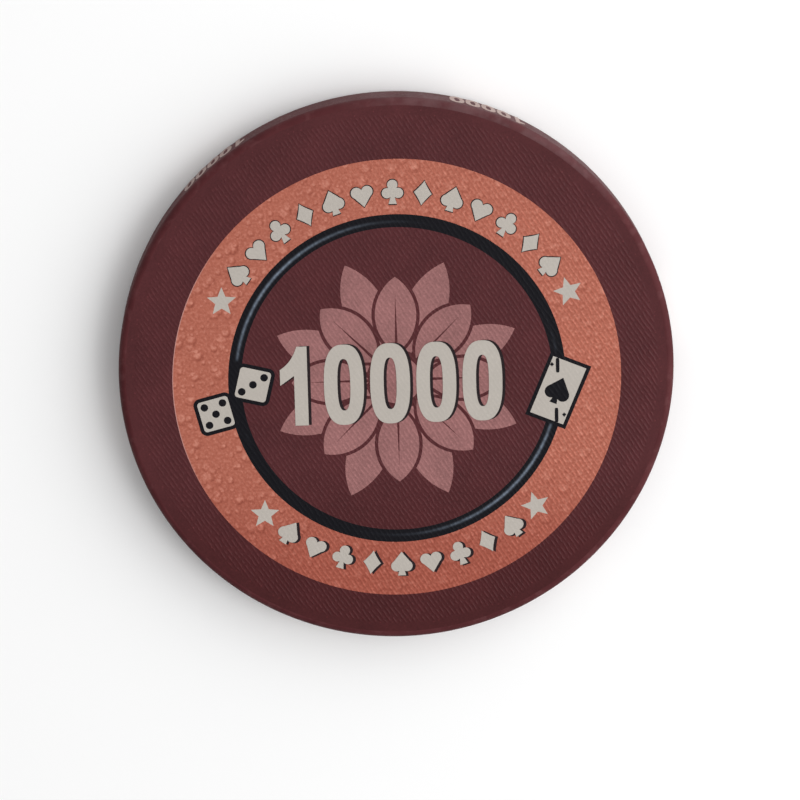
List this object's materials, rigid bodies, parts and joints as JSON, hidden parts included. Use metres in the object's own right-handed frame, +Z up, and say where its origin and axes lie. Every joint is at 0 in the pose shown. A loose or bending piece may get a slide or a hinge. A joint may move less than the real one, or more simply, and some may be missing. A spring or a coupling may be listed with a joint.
{
  "type": "poker chip",
  "caption": "Printed ceramic poker chip: a flat disc with rounded rims, a salmon ring with stars, a navy ring, a rosette, a card and dice, the same on both faces.",
  "frame": {"origin": "middle of the back face, on the surface that the chip lies on", "axes": "+Z up through the front face, +Y towards the top of the front print, +X to its right"},
  "size_m": [0.039, 0.039, 0.0033],
  "materials": {
    "blank_resin": "matt cream ceramic-filled resin, hidden under the dyed skin",
    "maroon_edge": "smooth satin maroon, lightly scuffed on the rounded rims",
    "maroon_print": "matt maroon dye over a fine moulded linen texture",
    "salmon_print": "matt salmon dye with a printed droplet pattern, over the linen texture",
    "navy_print": "matt navy dye over the linen texture",
    "pink_print": "matt dusty pink dye over the linen texture",
    "cream_print": "matt cream dye over the linen texture"
  },
  "bodies": {
    "root": {"chip_blank": "blank_resin", "edge_band": "maroon_edge", "front_rim_field": "maroon_print", "front_colour_ring": "salmon_print", "front_line_work": "navy_print", "front_centre_field": "maroon_print", "front_rosette": "pink_print", "front_stars": "cream_print", "front_card": "cream_print", "front_dice": "cream_print", "back_rim_field": "maroon_print", "back_colour_ring": "salmon_print", "back_line_work": "navy_print", "back_centre_field": "maroon_print", "back_rosette": "pink_print", "back_stars": "cream_print", "back_card": "cream_print", "back_dice": "cream_print"}
  },
  "joints": []
}
